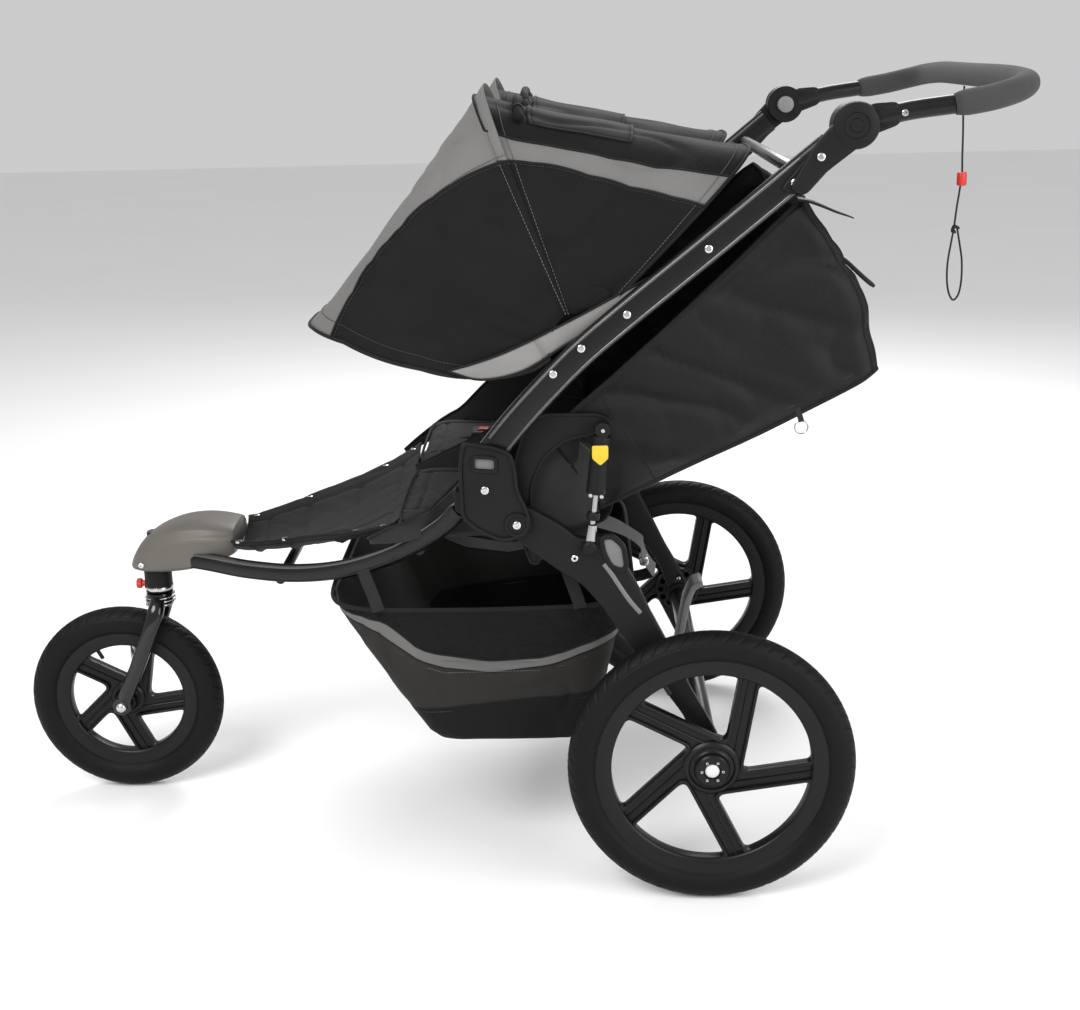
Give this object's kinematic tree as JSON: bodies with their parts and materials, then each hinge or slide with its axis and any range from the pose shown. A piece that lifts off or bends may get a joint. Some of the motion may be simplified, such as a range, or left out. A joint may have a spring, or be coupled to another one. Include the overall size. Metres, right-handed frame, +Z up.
{
  "type": "jogging stroller",
  "caption": "Folding jogging stroller with side-by-side seats, hooded canopies, a swivelling front wheel, sprung rear arms, an underseat basket and a tilting foam handlebar.",
  "frame": {"origin": "on the ground under the middle of the stroller's bounding box", "axes": "+X forward towards the front wheel, +Y to the rider's left, +Z up"},
  "size_m": [1.5215, 0.798, 1.1451],
  "materials": {
    "black_frame": "satin black powder coat",
    "black_plastic": "fine-textured black nylon",
    "gloss_black": "gloss black",
    "nose_plastic": "satin grey-brown moulding",
    "red_plastic": "satin red",
    "bright_metal": "satin",
    "shock_black": "satin black",
    "shock_steel": "polished rod",
    "rim_black": "satin black reinforced nylon",
    "tyre_rubber": "matte rubber",
    "pedal_grey": "grey moulding",
    "grip_foam": "closed-cell foam",
    "strap_black": "woven cord",
    "seat_cloth": "woven black polyester",
    "bag_cloth": "coated black polyester",
    "basket_cloth": "coated polyester and mesh",
    "canopy_cloth": "woven grey and black polyester",
    "webbing": "woven nylon webbing"
  },
  "bodies": {
    "frame": {"lower_rail_left": "black_frame", "lower_rail_right": "black_frame", "nose_casting": "black_plastic", "nose_cover": "nose_plastic", "side_plate_left": "black_plastic", "side_plate_right": "black_plastic", "frame_cross_tubes": "black_frame", "frame_screws": "bright_metal", "seat_base_left": "seat_cloth", "seat_base_right": "seat_cloth", "footwell": "seat_cloth", "basket": "basket_cloth", "buckle_left": "black_plastic", "buckle_right": "black_plastic"},
    "buckle_button_left": {"buckle_button_left": "red_plastic"},
    "buckle_button_right": {"buckle_button_right": "red_plastic"},
    "fork": {"fork": "gloss_black", "steering_spring": "bright_metal", "front_axle": "bright_metal"},
    "front_wheel": {"front_rim": "rim_black", "front_tyre": "tyre_rubber"},
    "qr_lever": {"qr_lever": "bright_metal"},
    "swivel_lock": {"swivel_lock_knob": "red_plastic"},
    "shock_carrier": {"shock_carrier": "black_frame", "shock_body_left": "shock_black", "shock_body_right": "shock_black"},
    "rear_arm": {"swing_arm_left": "black_frame", "swing_arm_right": "black_frame", "rear_axle": "black_frame", "shock_rods": "shock_steel"},
    "rear_wheel_left": {"rear_rim_left": "rim_black", "rear_tyre_left": "tyre_rubber"},
    "rear_wheel_right": {"rear_rim_right": "rim_black", "rear_tyre_right": "tyre_rubber"},
    "brake_pedal": {"brake_pedal": "pedal_grey"},
    "brake_pin_left": {"brake_pin_left": "bright_metal"},
    "brake_pin_right": {"brake_pin_right": "bright_metal"},
    "upper_frame": {"upper_rail_left": "black_frame", "upper_rail_right": "black_frame", "upper_cross_tube": "black_frame", "rail_screws": "bright_metal", "canopy_rear_left": "canopy_cloth", "canopy_rear_right": "canopy_cloth", "seat_bag_left": "bag_cloth", "seat_bag_right": "bag_cloth"},
    "handlebar": {"handle_tube": "black_frame", "handle_grip": "grip_foam", "wrist_strap": "strap_black", "wrist_strap_slider": "red_plastic"},
    "handle_button_left": {"handle_button_left": "pedal_grey"},
    "handle_button_right": {"handle_button_right": "pedal_grey"},
    "seat_back_left": {"seat_back_left": "seat_cloth", "harness_left": "webbing"},
    "seat_back_right": {"seat_back_right": "seat_cloth", "harness_right": "webbing"},
    "canopy_left": {"canopy_front_left": "canopy_cloth", "canopy_bow_left": "black_plastic"},
    "canopy_right": {"canopy_front_right": "canopy_cloth", "canopy_bow_right": "black_plastic"}
  },
  "joints": [
    {"name": "fork_swivel", "type": "hinge", "parent": "frame", "child": "fork", "pos_m": [0.5335, 0, 0.4], "axis": [0, 0, 1], "continuous": true},
    {"name": "front_wheel_spin", "type": "hinge", "parent": "fork", "child": "front_wheel", "pos_m": [0.6025, 0, 0.158], "axis": [0, 1, 0], "continuous": true},
    {"name": "qr_lever_turn", "type": "hinge", "parent": "fork", "child": "qr_lever", "pos_m": [0.6025, -0.056, 0.158], "axis": [1, 0, 0], "range_deg": [0, 120]},
    {"name": "swivel_lock_pull", "type": "slide", "parent": "frame", "child": "swivel_lock", "axis": [1, 0, 0], "range_m": [0, 0.006], "stiffness_N_per_m": 600, "springref_m": -0.004},
    {"name": "rear_fold", "type": "hinge", "parent": "frame", "child": "shock_carrier", "pos_m": [-0.0675, 0, 0.556], "axis": [0, 1, 0], "range_deg": [-60, 0], "deforming": ["basket"]},
    {"name": "rear_suspension", "type": "hinge", "parent": "shock_carrier", "child": "rear_arm", "pos_m": [-0.0675, 0, 0.556], "axis": [0, 1, 0], "range_deg": [0, 5], "stiffness_Nm_per_rad": 1100, "springref_deg": -2.01},
    {"name": "rear_wheel_spin_left", "type": "hinge", "parent": "rear_arm", "child": "rear_wheel_left", "pos_m": [-0.3325, 0.377, 0.203], "axis": [0, 1, 0], "continuous": true},
    {"name": "rear_wheel_spin_right", "type": "hinge", "parent": "rear_arm", "child": "rear_wheel_right", "pos_m": [-0.3325, -0.377, 0.203], "axis": [0, 1, 0], "continuous": true},
    {"name": "brake_pedal_turn", "type": "hinge", "parent": "rear_arm", "child": "brake_pedal", "pos_m": [-0.3065, 0, 0.214], "axis": [0, 1, 0], "range_deg": [-35, 0]},
    {"name": "brake_pin_slide_left", "type": "slide", "parent": "rear_arm", "child": "brake_pin_left", "axis": [0, 1, 0], "range_m": [0, 0.008]},
    {"name": "brake_pin_slide_right", "type": "slide", "parent": "rear_arm", "child": "brake_pin_right", "axis": [0, -1, 0], "range_m": [0, 0.008]},
    {"name": "frame_fold", "type": "hinge", "parent": "frame", "child": "upper_frame", "pos_m": [-0.0325, 0, 0.64], "axis": [0, 1, 0], "range_deg": [0, 135], "deforming": ["canopy_front_left", "canopy_front_right", "canopy_rear_left", "canopy_rear_right", "canopy_bow_left", "canopy_bow_right"]},
    {"name": "handle_tilt", "type": "hinge", "parent": "upper_frame", "child": "handlebar", "pos_m": [-0.5125, 0, 1.078], "axis": [0, 1, 0], "range_deg": [-20, 60]},
    {"name": "handle_button_press_left", "type": "slide", "parent": "handlebar", "child": "handle_button_left", "axis": [0, 1, 0], "range_m": [0, 0.005], "stiffness_N_per_m": 400, "springref_m": -0.003},
    {"name": "handle_button_press_right", "type": "slide", "parent": "handlebar", "child": "handle_button_right", "axis": [0, -1, 0], "range_m": [0, 0.005], "stiffness_N_per_m": 400, "springref_m": -0.003},
    {"name": "recline_left", "type": "hinge", "parent": "upper_frame", "child": "seat_back_left", "pos_m": [-0.1825, 0, 0.552], "axis": [0, 1, 0], "range_deg": [0, 40], "deforming": ["seat_bag_left"]},
    {"name": "recline_right", "type": "hinge", "parent": "upper_frame", "child": "seat_back_right", "pos_m": [-0.1825, 0, 0.552], "axis": [0, 1, 0], "range_deg": [0, 40], "deforming": ["seat_bag_right"]},
    {"name": "canopy_tilt_left", "type": "hinge", "parent": "upper_frame", "child": "canopy_left", "pos_m": [-0.1555, 0, 0.805], "axis": [0, 1, 0], "range_deg": [-60, 0]},
    {"name": "canopy_tilt_right", "type": "hinge", "parent": "upper_frame", "child": "canopy_right", "pos_m": [-0.1555, 0, 0.805], "axis": [0, 1, 0], "range_deg": [-60, 0]},
    {"name": "buckle_press_left", "type": "slide", "parent": "frame", "child": "buckle_button_left", "axis": [0, 0, -1], "range_m": [0, 0.0025], "stiffness_N_per_m": 300, "springref_m": -0.002},
    {"name": "buckle_press_right", "type": "slide", "parent": "frame", "child": "buckle_button_right", "axis": [0, 0, -1], "range_m": [0, 0.0025], "stiffness_N_per_m": 300, "springref_m": -0.002}
  ],
  "couplings": [
    {"joint": "brake_pin_slide_left", "follows": "brake_pedal_turn", "m_per_rad": -0.01309},
    {"joint": "brake_pin_slide_right", "follows": "brake_pedal_turn", "m_per_rad": -0.01309}
  ]
}
